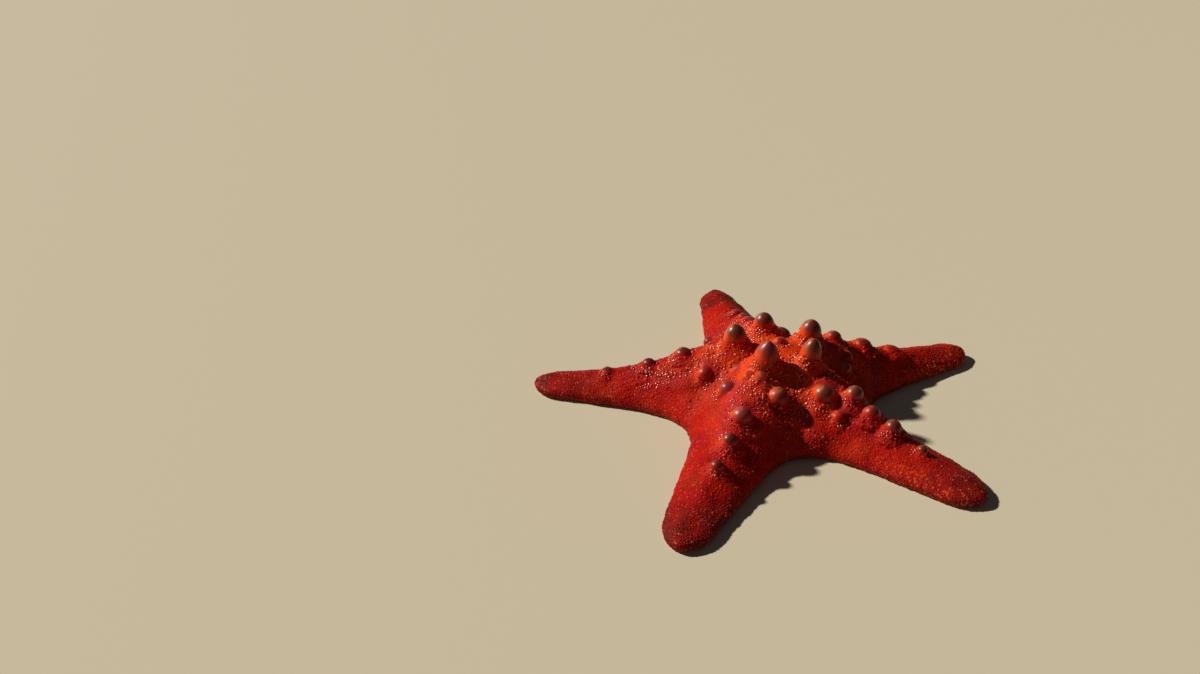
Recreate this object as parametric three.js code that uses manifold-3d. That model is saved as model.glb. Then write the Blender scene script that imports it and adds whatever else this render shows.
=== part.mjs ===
// A life-size model of a horned sea star lying flat: a domed disc that carries five
// blunt horns and smaller knobs, and five tapering arms with a row of knobs on each ridge.
// Millimetres, +Z up. The underside is flat on Z = 0 and has a groove along each arm.
import * as THREE from 'three';
import { mergeVertices } from 'three/addons/utils/BufferGeometryUtils.js';
import Module from 'manifold-3d';

const wasm = await Module();
wasm.setup();

// ---- Driving dimensions -------------------------------------------------------------

// The mouth's place in plan, which centres the whole body's box on the origin.
const MOUTH_PLACE = new THREE.Vector3(3.04, -4.76, 0);

const CROWN_HEIGHT = 30;      // top of the disc between the horns
const RIM_HEIGHT = 3.2;       // the widest line of the rounded rim
const RIM_TUCK = 2.2;         // how far the flat underside lies inside the rim
// The rounded rim's lines, from its widest down to the floor: [tuck, height].
const RIM_LEVELS = [[0, RIM_HEIGHT], [0.5, 1.2], [RIM_TUCK, 0]];
const RIDGE_REACH = 49.5;     // station where the ridge has lost half its height
const RIDGE_FALL = 2.7;
const SECTOR = THREE.MathUtils.degToRad(36);
const WIDTH_STATION = 75;     // station where an arm's half width is given
const BEND_START = 38;        // station where an arm's sideways turn begins
const PARTING_GAP = 0.3;
const SKIN_ROUGHNESS = 0.42;
const DISC_COLOR = 0xc4260e;

// Powers and factors of the curves that shape the body.
const VALLEY_CURVE = { inner: 1.6, outer: 0.85 };
const ARM_CURVE = { inner: 1.4, outer: 0.7 };
const DISC_CURVE = { square: 2.1, cube: 1.1, blend: 24 };
const TIP_CURVE = { past: 2.3, ridge: 0.8 };
const ROW_SPACING = 1.35;     // above 1, the rows crowd towards an arm's tip

// heading: degrees anticlockwise from +X. reach: mouth to tip. halfWidth: at WIDTH_STATION.
// taper: half width lost per mm. bend: sideways turn of the tip. rise: ridge height factor.
// tipLength: length of the rounded end. root: station where the arm parts from the disc.
// pit: mouth to the armpit on the arm's left.
const ARMS = {
  left: {
    heading: 170.3, reach: 102.8, halfWidth: 11.2, taper: 0.09, bend: 1.2,
    rise: 1.07, tipLength: 12, root: 45.3, pit: 43.4, color: 0xb01812,
  },
  front_left: {
    heading: 243.2, reach: 107, halfWidth: 12.9, taper: 0.14, bend: 2.4,
    rise: 1.0, tipLength: 12.5, root: 48.9, pit: 41, color: 0xb4160f,
  },
  front_right: {
    heading: 317.2, reach: 98.8, halfWidth: 12.9, taper: 0.1, bend: -2.9,
    rise: 0.96, tipLength: 14, root: 43.4, pit: 42.5, color: 0xa81612,
  },
  right: {
    heading: 25.5, reach: 105, halfWidth: 11.7, taper: 0.12, bend: -0.6,
    rise: 1.1, tipLength: 10.5, root: 38.3, pit: 44, color: 0xa01414,
  },
  back: {
    heading: 98, reach: 107.5, halfWidth: 12.7, taper: 0.16, bend: -0.2,
    rise: 1.07, tipLength: 11.5, root: 38, pit: 45.2, color: 0xa8141c,
  },
};
const ARM_NAMES = Object.keys(ARMS);

// Horns by arm: [station, offset to the arm's left, height of the top, cap radius, neck, skirt,
// point]. The neck's depth and the skirt's radius at its foot are in multiples of the cap radius.
// A point of 1 is round and more is sharper.
const HORNS = {
  left: [17, 0.5, 38.7, 4.4, 1.45, 2.4, 1.1],
  front_left: [13.8, 1.5, 39.4, 4.7, 2, 2.15, 1.6],
  front_right: [17.6, 1, 39.4, 4, 1.85, 2.35, 1.15],
  right: [17.4, -0.6, 38.5, 4.4, 1.4, 2.45, 1.1],
  back: [16.3, 0.8, 37.2, 4.15, 1.45, 2.5, 1],
};
// Knobs by arm: [station, offset to the arm's left, height of the top, cap radius].
const KNOBS = {
  left: [
    [38.7, 0, 25.2, 3.1], [53, 0, 18.7, 2.5], [70.6, 0.3, 12.7, 2.3],
    [28.2, 12.2, 23, 2.9], [27, -12.5, 22.4, 3],
  ],
  front_left: [
    [42.9, 2.2, 23.7, 3.9], [54.9, 1.7, 18.9, 2.9], [67.8, 1.7, 14.7, 2.6],
    [22.6, 2.2, 27.8, 2.4], [26.9, -11.5, 23.5, 3.2], [24.7, 11.7, 24.8, 3.9],
    [15.2, -11.1, 24, 1.9], [21.6, -4.2, 27.3, 2],
  ],
  front_right: [
    [39.1, 0, 25.9, 3.5], [47.7, -0.6, 20.6, 3.2], [57.4, -0.7, 18.4, 3.3],
    [70.6, -1.2, 13.1, 2.2], [29.6, -8.4, 25.4, 4.1], [38.3, -10, 17.6, 2.5],
  ],
  right: [
    [30.3, 0, 29.9, 3.1], [46.7, 0, 22.2, 3.7], [62.8, -0.4, 15, 3.1],
    [31.3, -9.2, 24, 2.4], [27, -14, 21.8, 2.8], [28, 14.5, 20.8, 3.3],
    [4.2, 3, 31.4, 2.5],
  ],
  back: [
    [42.9, -1.2, 21.6, 2.7], [53.5, -1.6, 18, 2.6], [63.2, -0.6, 15, 2.3],
    [46.3, 17.6, 10.3, 2.2], [26, -12, 24, 3.6], [25.5, 11.5, 23.2, 3],
  ],
};

// Shape of a horn or knob, in multiples of its cap radius.
const HORN_SHAPE = { waist: 1.03, sink: 1.1, sides: 10 };
const KNOB_SHAPE = { waist: 1, sink: 0.6, sides: 8 };
const KNOB_NECK = 1;
const KNOB_SKIRT = 2.3;
const KNOB_POINT = 1;
const NECK_LIMIT = 0.75;      // deepest neck, as a share of the knob's rise
const CAP_STEPS = 3;
const SKIRT_STEPS = 3;
const SKIRT_FLARE = 1.2;      // 1 is a straight cone, more is a hollow skirt
const KNOB_LEAN = 0.45;       // 0 stands upright, 1 stands square to the skin
const SLOPE_STEP = 3;         // distance over which the skin's slope is taken

// Groove under each arm: a three-sided wedge with one edge upwards.
const GROOVE_MOUTH_DEPTH = 4.5;
const GROOVE_TIP_DEPTH = 1.8;
const GROOVE_END = 8;         // distance from the arm's tip
const MOUTH_RADIUS = 6;
const MOUTH_DEPTH = 5;

// Size of the block that parts an arm from the disc. It clears the neighbouring arms.
const ROOT_BLOCK = { length: 120, width: 76, height: 120 };

// Fineness of the body's mesh.
const DISC_ROWS = [0, 0.22, 0.46, 0.7, 0.88, 1];
const ARM_ROWS = 14;
const SIDE_COLUMNS = [0, 0.17, 0.4, 0.63, 0.84, 0.96, 1];
const BOTTOM_COLUMNS = [0, 0.5, 1];
const WELD_DISTANCE = 1e-3;   // points of the body's grid that lie closer are one
const SOLID_WELD = 1e-4;
const GROOVE_SIDES = 3;
const MOUTH_SIDES = 10;

// ---- The body's rules ---------------------------------------------------------------

function unit(degrees) {
  const angle = THREE.MathUtils.degToRad(degrees);
  return new THREE.Vector3(Math.cos(angle), Math.sin(angle), 0);
}

// A plan place given by its station along an arm and its offset to the arm's left.
function armPlace(arm, station, offset, height = 0) {
  const along = unit(arm.heading).multiplyScalar(station);
  const across = unit(arm.heading + 90).multiplyScalar(offset);
  return along.add(across).setZ(height);
}

function ridgeHeight(station, rise) {
  const fall = 1 + (station / RIDGE_REACH) ** RIDGE_FALL;
  return rise * (RIM_HEIGHT + (CROWN_HEIGHT - RIM_HEIGHT) / fall);
}

// Height of the valley between two arms, from the crown out to the armpit.
function valleyHeight(share) {
  const drop = Math.max(0, 1 - share ** VALLEY_CURVE.inner) ** VALLEY_CURVE.outer;
  return RIM_HEIGHT + (CROWN_HEIGHT - RIM_HEIGHT) * drop;
}

// Height of a section from its edge (share 1, height 0) to the ridge (share 0, height 1).
// An arm's section ends in a rounded rim. The disc's runs smoothly through the valley.
function armSection(share) {
  return Math.max(0, 1 - share ** ARM_CURVE.inner) ** ARM_CURVE.outer;
}

function discSection(share, out) {
  const smooth = 1 - DISC_CURVE.square * share ** 2 + DISC_CURVE.cube * share ** 3;
  return THREE.MathUtils.lerp(smooth, armSection(share), out ** DISC_CURVE.blend);
}

function centreOffset(arm, station) {
  const turn = Math.max(0, (station - BEND_START) / (arm.reach - BEND_START));
  return arm.bend * turn ** 2;
}

// How much of its full size the section keeps inside the rounded end, from 1 to 0.
function tipShare(arm, station, reach) {
  const past = THREE.MathUtils.clamp((station - reach + arm.tipLength) / arm.tipLength, 0, 1);
  return Math.sqrt(1 - past ** TIP_CURVE.past);
}

// The armpit on one side of an arm, as a station and a half width in the arm's frame.
function pitOf(arm, side, tuck = 0) {
  const index = ARM_NAMES.findIndex((name) => ARMS[name] === arm);
  const next = ARMS[ARM_NAMES[(index + side + ARM_NAMES.length) % ARM_NAMES.length]];
  const apart = THREE.MathUtils.euclideanModulo(side * (next.heading - arm.heading), 360);
  const half = THREE.MathUtils.degToRad(apart / 2);
  const radius = (side > 0 ? arm.pit : next.pit) - tuck;
  return { station: radius * Math.cos(half), width: radius * Math.sin(half) };
}

// The half width tapers along the arm and flares smoothly into the armpit.
function halfWidth(arm, side, station, tuck = 0) {
  const pit = pitOf(arm, side, tuck);
  const plain = (at) => arm.halfWidth - tuck - arm.taper * (at - WIDTH_STATION);
  const flare = pit.width - plain(pit.station);
  const spread = flare / (pit.station / pit.width - arm.taper);
  const width = plain(station) + flare * Math.exp(-(station - pit.station) / spread);
  return width * tipShare(arm, station, arm.reach - tuck);
}

function skinHeight(arm, station, offset) {
  const pitStation = arm.pit * Math.cos(SECTOR);
  if (station < pitStation) {
    const out = station / pitStation;
    const edge = valleyHeight(out);
    const ridge = ridgeHeight(station, 1 + (arm.rise - 1) * out);
    const share = Math.min(1, Math.abs(offset) / (station * Math.tan(SECTOR)));
    return edge + (ridge - edge) * discSection(share, out);
  }
  const away = offset - centreOffset(arm, station);
  const share = Math.min(1, Math.abs(away) / halfWidth(arm, Math.sign(away) || 1, station));
  const ridge = ridgeHeight(station, arm.rise) - RIM_HEIGHT;
  return RIM_HEIGHT + ridge * tipShare(arm, station, arm.reach) ** TIP_CURVE.ridge * armSection(share);
}

// ---- The body as one closed mesh ----------------------------------------------------

// One row of an arm's sector: its middle and its two edges, at a tuck inside the rim.
// Rows 0 to 1 cross the disc and rows 1 to 2 follow the arm.
function bodyRow(arm, row, tuck) {
  const edges = {};
  const meanPit = (pitOf(arm, 1, tuck).station + pitOf(arm, -1, tuck).station) / 2;
  if (row <= 1) {
    for (const side of [1, -1]) {
      const pit = pitOf(arm, side, tuck);
      edges[side] = armPlace(arm, row * pit.station, side * row * pit.width);
    }
    return { middle: armPlace(arm, row * meanPit, 0), station: row * meanPit, edges };
  }
  const reach = arm.reach - tuck;
  const out = 1 - (2 - row) ** ROW_SPACING;
  const station = meanPit + (reach - meanPit) * out;
  for (const side of [1, -1]) {
    const pit = pitOf(arm, side, tuck);
    const at = pit.station + (reach - pit.station) * out;
    const width = halfWidth(arm, side, at, tuck);
    edges[side] = armPlace(arm, at, centreOffset(arm, at) + side * width);
  }
  return { middle: armPlace(arm, station, centreOffset(arm, station)), station, edges };
}

function topPoint(arm, row, side, share) {
  const { middle, station, edges } = bodyRow(arm, row, 0);
  const place = middle.clone().lerp(edges[side], share);
  if (row <= 1) {
    const edge = valleyHeight(row);
    const ridge = ridgeHeight(station, 1 + (arm.rise - 1) * row);
    return place.setZ(edge + (ridge - edge) * discSection(share, row));
  }
  const ridge = ridgeHeight(station, arm.rise) - RIM_HEIGHT;
  const end = tipShare(arm, station, arm.reach) ** TIP_CURVE.ridge;
  return place.setZ(RIM_HEIGHT + ridge * end * armSection(share));
}

function rimPoint(arm, row, side, level) {
  const [tuck, height] = RIM_LEVELS[level];
  return bodyRow(arm, row, tuck).edges[side].setZ(height);
}

function bottomPoint(arm, row, side, share) {
  const { middle, edges } = bodyRow(arm, row, RIM_TUCK);
  return middle.lerp(edges[side], share);
}

// Joins points into quads, turning them so that the faces point outwards.
function addGrid(triangles, grid, flipped) {
  for (let i = 0; i + 1 < grid.length; i += 1) {
    for (let j = 0; j + 1 < grid[i].length; j += 1) {
      const [a, b] = [grid[i][j], grid[i + 1][j]];
      const [c, d] = [grid[i + 1][j + 1], grid[i][j + 1]];
      for (const corners of [[a, b, c], [a, c, d]]) {
        triangles.push(flipped ? corners.reverse() : corners);
      }
    }
  }
}

function bodyGeometry() {
  const triangles = [];
  const armRows = Array.from({ length: ARM_ROWS + 1 }, (_, i) => 1 + i / ARM_ROWS);
  const rows = [...DISC_ROWS, ...armRows.slice(1)];
  for (const arm of Object.values(ARMS)) {
    for (const side of [1, -1]) {
      const flipped = side < 0;
      const top = rows.map((row) => SIDE_COLUMNS.map((v) => topPoint(arm, row, side, v)));
      const rim = armRows.map((row) => RIM_LEVELS.map((_, i) => rimPoint(arm, row, side, i)));
      const bottom = rows.map((row) => BOTTOM_COLUMNS.map((v) => bottomPoint(arm, row, side, v)));
      addGrid(triangles, top, flipped);
      addGrid(triangles, rim, flipped);
      addGrid(triangles, bottom, !flipped);
    }
  }
  return closedGeometry(triangles);
}

// Welds triangles given by their corners and drops the ones that have no area.
function closedGeometry(triangles) {
  const corners = triangles.flat().flatMap((point) => point.toArray());
  const loose = new THREE.BufferGeometry();
  loose.setAttribute('position', new THREE.Float32BufferAttribute(corners, 3));
  const welded = mergeVertices(loose, WELD_DISTANCE);
  const index = Array.from(welded.index.array);
  const kept = [];
  for (let i = 0; i < index.length; i += 3) {
    const [a, b, c] = index.slice(i, i + 3);
    if (a !== b && b !== c && c !== a) kept.push(a, b, c);
  }
  welded.setIndex(kept);
  return welded;
}

// ---- Horns and knobs ----------------------------------------------------------------

// Profile of a knob whose top is at the origin: a closed lathe outline, bottom first.
function knobProfile([cap, neckDepth, skirt, point], rise, shape) {
  const neck = Math.min(neckDepth * cap, NECK_LIMIT * rise);
  const foot = rise + shape.sink * cap;
  const waist = shape.waist * cap;
  const points = [new THREE.Vector2(0, -foot)];
  for (let i = 0; i < SKIRT_STEPS; i += 1) {
    const up = i / SKIRT_STEPS;
    const radius = waist + (skirt * cap - waist) * (1 - up) ** SKIRT_FLARE;
    points.push(new THREE.Vector2(radius, -foot + (foot - neck) * up));
  }
  for (let i = 0; i < CAP_STEPS; i += 1) {
    const turn = (i / CAP_STEPS) * (Math.PI / 2);
    const radius = waist * Math.cos(turn) ** point;
    points.push(new THREE.Vector2(radius, -neck + neck * Math.sin(turn)));
  }
  points.push(new THREE.Vector2(0, 0));
  return points;
}

// Direction of a knob: between upright and square to the skin.
function knobAxis(arm, station, offset) {
  const step = SLOPE_STEP;
  const height = (s, o) => skinHeight(arm, s, o);
  const slopeOut = (height(station + step, offset) - height(station - step, offset)) / (2 * step);
  const slopeSide = (height(station, offset + step) - height(station, offset - step)) / (2 * step);
  const lean = armPlace(arm, -slopeOut * KNOB_LEAN, -slopeSide * KNOB_LEAN, 1);
  return lean.normalize();
}

function knobGeometry(arm, [station, offset, top, ...sizes], shape) {
  const rise = top - skinHeight(arm, station, offset);
  const lathe = new THREE.LatheGeometry(knobProfile(sizes, rise, shape), shape.sides);
  const axis = knobAxis(arm, station, offset);
  const upright = new THREE.Quaternion().setFromUnitVectors(new THREE.Vector3(0, 1, 0), axis);
  lathe.applyQuaternion(upright);
  const place = armPlace(arm, station, offset, top);
  return lathe.translate(place.x, place.y, place.z);
}

// ---- Underside ----------------------------------------------------------------------

function grooveGeometry(arm) {
  const length = arm.reach - GROOVE_END;
  const [thin, thick] = [GROOVE_TIP_DEPTH, GROOVE_MOUTH_DEPTH];
  const wedge = new THREE.CylinderGeometry(thin, thick, length, GROOVE_SIDES);
  const vertexUp = new THREE.Matrix4().makeRotationY(Math.PI / 2);
  const alongX = new THREE.Matrix4().makeRotationZ(-Math.PI / 2);
  const outwards = new THREE.Matrix4().makeTranslation(length / 2, 0, 0);
  const heading = new THREE.Matrix4().makeRotationZ(THREE.MathUtils.degToRad(arm.heading));
  wedge.applyMatrix4(vertexUp).applyMatrix4(alongX).applyMatrix4(outwards);
  return wedge.applyMatrix4(heading);
}

function mouthGeometry() {
  const cone = new THREE.ConeGeometry(MOUTH_RADIUS, MOUTH_DEPTH * 2, MOUTH_SIDES);
  return cone.rotateX(Math.PI / 2);
}

// ---- Joining and parting ------------------------------------------------------------

function solidOf(geometry) {
  const plain = geometry.clone();
  plain.deleteAttribute('normal');
  plain.deleteAttribute('uv');
  const welded = mergeVertices(plain, SOLID_WELD);
  const mesh = new wasm.Mesh({
    numProp: 3,
    vertProperties: Float32Array.from(welded.attributes.position.array),
    triVerts: Uint32Array.from(welded.index.array),
  });
  mesh.merge();
  return new wasm.Manifold(mesh);
}

function geometryOf(solid) {
  const mesh = solid.getMesh();
  const geometry = new THREE.BufferGeometry();
  geometry.setAttribute('position', new THREE.BufferAttribute(mesh.vertProperties, 3));
  geometry.setIndex(new THREE.BufferAttribute(mesh.triVerts, 1));
  geometry.computeVertexNormals();
  return geometry;
}

// A block that holds everything of an arm beyond a station.
function beyondRoot(arm, station) {
  const { length, width, height } = ROOT_BLOCK;
  const block = new THREE.BoxGeometry(length, width, height);
  block.translate(station + length / 2, 0, 0);
  block.rotateZ(THREE.MathUtils.degToRad(arm.heading));
  return solidOf(block);
}

function wholeStar() {
  let star = solidOf(bodyGeometry());
  for (const name of ARM_NAMES) {
    const arm = ARMS[name];
    star = star.add(solidOf(knobGeometry(arm, HORNS[name], HORN_SHAPE)));
    for (const knob of KNOBS[name]) {
      const sizes = [...knob, KNOB_NECK, KNOB_SKIRT, KNOB_POINT];
      star = star.add(solidOf(knobGeometry(arm, sizes, KNOB_SHAPE)));
    }
  }
  for (const arm of Object.values(ARMS)) {
    star = star.subtract(solidOf(grooveGeometry(arm)));
  }
  return star.subtract(solidOf(mouthGeometry()));
}

function namedMesh(name, solid, color) {
  const material = new THREE.MeshStandardMaterial({ color, roughness: SKIN_ROUGHNESS, metalness: 0 });
  const mesh = new THREE.Mesh(geometryOf(solid), material);
  mesh.name = name;
  return mesh;
}

const seaStar = new THREE.Group();
seaStar.position.copy(MOUTH_PLACE);

const whole = wholeStar();
let disc = whole;
for (const name of ARM_NAMES) {
  const arm = ARMS[name];
  disc = disc.subtract(beyondRoot(arm, arm.root - PARTING_GAP / 2));
  const limb = whole.intersect(beyondRoot(arm, arm.root + PARTING_GAP / 2));
  seaStar.add(namedMesh(`arm_${name}`, limb, arm.color));
}
seaStar.add(namedMesh('disc', disc, DISC_COLOR));

export default seaStar;
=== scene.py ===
import math

import bmesh
import bpy
import numpy as np
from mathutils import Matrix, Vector


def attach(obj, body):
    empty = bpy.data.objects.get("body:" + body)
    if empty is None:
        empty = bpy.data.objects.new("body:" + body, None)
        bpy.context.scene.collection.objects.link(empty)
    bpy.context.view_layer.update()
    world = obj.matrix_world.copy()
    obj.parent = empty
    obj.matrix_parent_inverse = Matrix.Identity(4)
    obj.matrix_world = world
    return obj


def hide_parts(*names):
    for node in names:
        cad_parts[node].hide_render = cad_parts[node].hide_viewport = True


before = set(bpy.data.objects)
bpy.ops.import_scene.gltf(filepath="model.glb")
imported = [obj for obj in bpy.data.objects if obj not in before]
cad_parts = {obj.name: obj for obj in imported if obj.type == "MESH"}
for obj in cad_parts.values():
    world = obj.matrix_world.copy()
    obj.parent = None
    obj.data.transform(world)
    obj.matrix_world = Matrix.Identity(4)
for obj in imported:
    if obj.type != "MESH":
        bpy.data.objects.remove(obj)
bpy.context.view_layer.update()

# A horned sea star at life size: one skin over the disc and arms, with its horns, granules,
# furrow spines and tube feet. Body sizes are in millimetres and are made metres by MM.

MM = 0.001

# ---- Driving dimensions of the body, in millimetres ----------------------------------

MOUTH = np.array([3.04, -4.76, 0.0])   # the mouth's place
COAT = 0.3                    # how far the skin lies inside the granules' tops
CROWN_HEIGHT = 30.0           # height of the disc's middle, without its horns
RIM_HEIGHT = 3.2              # height at which the sides turn under
RIM_TUCK = 2.2                # how far they turn in below that
RIDGE_REACH = 49.5            # the arms' ridges fall away over this distance
RIDGE_FALL = 2.7              # power of that fall
SECTOR = math.radians(36)     # half of each arm's share of the disc
WIDTH_STATION = 75.0          # where an arm's width is given
BEND_START = 38.0             # where an arm's sideways bend begins
ROW_SPACING = 1.35            # power by which the rows of points close up at an arm's tip
DISC_ROWS = 41                # rows of points over the disc, over an arm and round its rim
ARM_ROWS = 81
RIM_ROWS = 9
HALF_COLUMNS = 29             # points from an arm's middle line to its edge

# heading: degrees anticlockwise from +X. reach: mouth to tip. width: half width at
# WIDTH_STATION. taper: half width lost per millimetre. bend: sideways turn of the tip.
# rise: ridge height factor. end: length of the rounded end. pit: mouth to left armpit.
ARMS = {
    "left": dict(heading=170.3, reach=102.8, width=11.2, taper=0.09, bend=1.2,
                 rise=1.07, end=12.0, pit=43.4),
    "front_left": dict(heading=243.2, reach=107.0, width=12.9, taper=0.14, bend=2.4,
                       rise=1.0, end=12.5, pit=41.0),
    "front_right": dict(heading=317.2, reach=98.8, width=12.9, taper=0.1, bend=-2.9,
                        rise=0.96, end=14.0, pit=42.5),
    "right": dict(heading=25.5, reach=105.0, width=11.7, taper=0.12, bend=-0.6,
                  rise=1.1, end=10.5, pit=44.0),
    "back": dict(heading=98.0, reach=107.5, width=12.7, taper=0.16, bend=-0.2,
                 rise=1.07, end=11.5, pit=45.2),
}
ARM_NAMES = list(ARMS)

# Horns: station, offset to the arm's left, height of the top, cap radius, neck depth and foot
# radius in multiples of the cap's, point (1 is round, more is sharper), tone (0 brown, 0.5 red,
# 1 pink) and strength of the tone.
HORNS = {
    "left": (17.0, 0.5, 38.7, 4.4, 1.45, 2.4, 1.1, 0.1, 1.0),
    "front_left": (13.8, 1.5, 39.4, 4.7, 2.0, 2.15, 1.6, 0.75, 1.0),
    "front_right": (17.6, 1.0, 39.4, 4.0, 1.85, 2.35, 1.15, 0.2, 1.0),
    "right": (17.4, -0.6, 38.5, 4.4, 1.4, 2.45, 1.1, 0.15, 1.0),
    "back": (16.3, 0.8, 37.2, 4.15, 1.45, 2.5, 1.0, 0.0, 1.0),
}
# Knobs: station, offset, height of the top, cap radius, tone and strength.
KNOBS = {
    "left": [
        (38.7, 0.0, 25.2, 3.1, 0.35, 1.0),
        (53.0, 0.0, 18.7, 2.5, 0.5, 1.0),
        (70.6, 0.3, 12.7, 2.3, 0.4, 0.9),
        (28.2, 12.2, 23.0, 2.9, 0.75, 0.6),
        (27.0, -12.5, 22.4, 3.0, 0.75, 0.7)],
    "front_left": [
        (42.9, 2.2, 23.7, 3.9, 0.85, 0.9),
        (54.9, 1.7, 18.9, 2.9, 0.3, 1.0),
        (67.8, 1.7, 14.7, 2.6, 0.6, 0.9),
        (22.6, 2.2, 27.8, 2.4, 0.6, 0.8),
        (26.9, -11.5, 23.5, 3.2, 1.0, 0.85),
        (24.7, 11.7, 24.8, 3.9, 0.35, 0.85),
        (15.2, -11.1, 24.0, 1.9, 0.9, 0.35),
        (21.6, -4.2, 27.3, 2.0, 0.8, 0.5)],
    "front_right": [
        (39.1, 0.0, 25.9, 3.5, 0.1, 1.0),
        (47.7, -0.6, 20.6, 3.2, 0.55, 0.8),
        (57.4, -0.7, 18.4, 3.3, 0.2, 1.0),
        (70.6, -1.2, 13.1, 2.2, 0.2, 1.0),
        (29.6, -8.4, 25.4, 4.1, 0.05, 0.85),
        (38.3, -10.0, 17.6, 2.5, 0.6, 0.4)],
    "right": [
        (30.3, 0.0, 29.9, 3.1, 0.3, 0.9),
        (46.7, 0.0, 22.2, 3.7, 0.45, 0.9),
        (62.8, -0.4, 15.0, 3.1, 0.55, 0.7),
        (31.3, -9.2, 24.0, 2.4, 0.6, 0.6),
        (27.0, -14.0, 21.8, 2.8, 0.3, 0.8),
        (28.0, 14.5, 20.8, 3.3, 0.3, 0.8),
        (4.2, 3.0, 31.4, 2.5, 0.7, 0.5)],
    "back": [
        (42.9, -1.2, 21.6, 2.7, 1.0, 0.8),
        (53.5, -1.6, 18.0, 2.6, 1.0, 0.8),
        (63.2, -0.6, 15.0, 2.3, 1.0, 0.7),
        (46.3, 17.6, 10.3, 2.2, 0.9, 0.6),
        (26.0, -12.0, 24.0, 3.6, 0.3, 0.9),
        (25.5, 11.5, 23.2, 3.0, 0.4, 0.8)],
}
KNOB_NECK = 1.0               # a knob's neck depth and foot radius, as for the horns
KNOB_FOOT = 2.3

# Depth of the foot under the skin and radius of the waist, in multiples of the cap's radius.
HORN_SHAPE = dict(waist=1.03, sink=1.1)
KNOB_SHAPE = dict(waist=1.0, sink=0.6)
NECK_LIMIT = 0.75             # a neck takes no more than this share of a knob's rise
# A bare band down one side of the front left arm's ridge: stations, offset and its slope, width.
BAND = dict(start=8.0, end=38.0, offset=-5.0, slope=-0.17, width=2.6)
LIT_SIDE_BEARING = 155.0          # side toward the light, on which the skin beside a cap is painted the most orange: painted light
LIT_SIDE_FLOOR = 0.05             # share of that painted light on the side away from it
SHEEN_AIM = np.array([-0.57, -0.40, 0.71])   # way the skin faces where a gleam of wet lies
RIB_PITCH = 1.25              # of the fine ribs that run down a skirt, at its middle
SKIRT_FLARE = 1.2             # power by which a skirt widens downwards
KNOB_LEAN = 0.45              # how much a knob leans out with the slope under it
SLOPE_STEP = 3.0              # distance over which that slope is measured

SIEVE_BEARING = 61.8          # the pale sieve plate between the right and back arms
SIEVE_RADIUS = 20.0
SIEVE_SIZE = 2.3

FURROW_DEPTH = 3.6            # depth of the furrow under each arm, by the mouth
FURROW_WIDTH = 3.7            # its half width there
FURROW_END = 7.0              # distance from the arm's tip
MOUTH_RADIUS = 6.0
MOUTH_DEPTH = 5.0
SOLE_HEIGHT = 0.3             # the flat of the underside, held off the floor by plates
SOLE_LIMIT = 4.2              # all skin below this and well inside the rim is underside

FURROW_START = 8.5            # where the furrows' spines and feet begin
COMB_PITCH = 0.62             # spacing of the fine spines over the furrows
PLATE_PITCH = 1.7             # spacing of the plates and stout spines beside them
FOOT_PITCH = 1.75
COMB_THICK = 0.2              # radii and length of the spines and tube feet
GUARD_THICK = 0.42
SPINE_LONG = 2.1
FOOT_THICK = 0.5
JAW_THICK = 0.38
JAW_LONG = 3.6
JAW_SPINES = 4                # spines on each side of a jaw's middle one
JAW_RADIUS = 8.2

BODY_VOXEL = 1.0              # fineness of the bare body while its disc is smoothed
MELT_ROUNDS = 60
VOXEL = 0.5
SETTLE_ROUNDS = 4
SETTLE_LOSS = 0.2             # what that smoothing takes off a cap
SKIN_TRIANGLES = 190000


# ---- The body's rules -----------------------------------------------------------------

def unit(degrees):
    angle = math.radians(degrees)
    return np.array([math.cos(angle), math.sin(angle)])


def arm_place(arm, station, offset):
    """Plan places, from the mouth, of stations along an arm and offsets to its left."""
    ahead = np.multiply.outer(station, unit(arm["heading"]))
    return ahead + np.multiply.outer(offset, unit(arm["heading"] + 90))


def ridge_height(station, rise):
    fall = 1 + (np.abs(station) / RIDGE_REACH) ** RIDGE_FALL
    return rise * (RIM_HEIGHT + (CROWN_HEIGHT - RIM_HEIGHT) / fall)


def valley_height(share):
    drop = np.clip(1 - share ** 1.6, 0, 1) ** 0.85
    return RIM_HEIGHT + (CROWN_HEIGHT - RIM_HEIGHT) * drop


def arm_section(share):
    return np.clip(1 - share ** 1.4, 0, 1) ** 0.7


def disc_section(share, out):
    smooth = 1 - 2.1 * share ** 2 + 1.1 * share ** 3
    blend = out ** 24
    return smooth * (1 - blend) + arm_section(share) * blend


def centre_offset(arm, station):
    turn = np.clip((station - BEND_START) / (arm["reach"] - BEND_START), 0, None)
    return arm["bend"] * turn ** 2


def in_arm(arm, plan):
    """Stations along an arm of plan places, and their offsets from its middle line."""
    station = plan @ unit(arm["heading"])
    return station, plan @ unit(arm["heading"] + 90) - centre_offset(arm, station)


def tip_share(arm, station, reach):
    past = np.clip((station - reach + arm["end"]) / arm["end"], 0, 1)
    return np.sqrt(np.clip(1 - past ** 2.3, 0, 1))


def neighbour(name, side):
    return ARMS[ARM_NAMES[(ARM_NAMES.index(name) + side) % 5]]


def pit_of(name, side, tuck=0.0):
    """The armpit on one side of an arm: its station and half width in the arm's frame."""
    arm = ARMS[name]
    beside = neighbour(name, side)
    half = math.radians((side * (beside["heading"] - arm["heading"])) % 360 / 2)
    radius = (arm["pit"] if side > 0 else beside["pit"]) - tuck
    return radius * math.cos(half), radius * math.sin(half)


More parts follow.
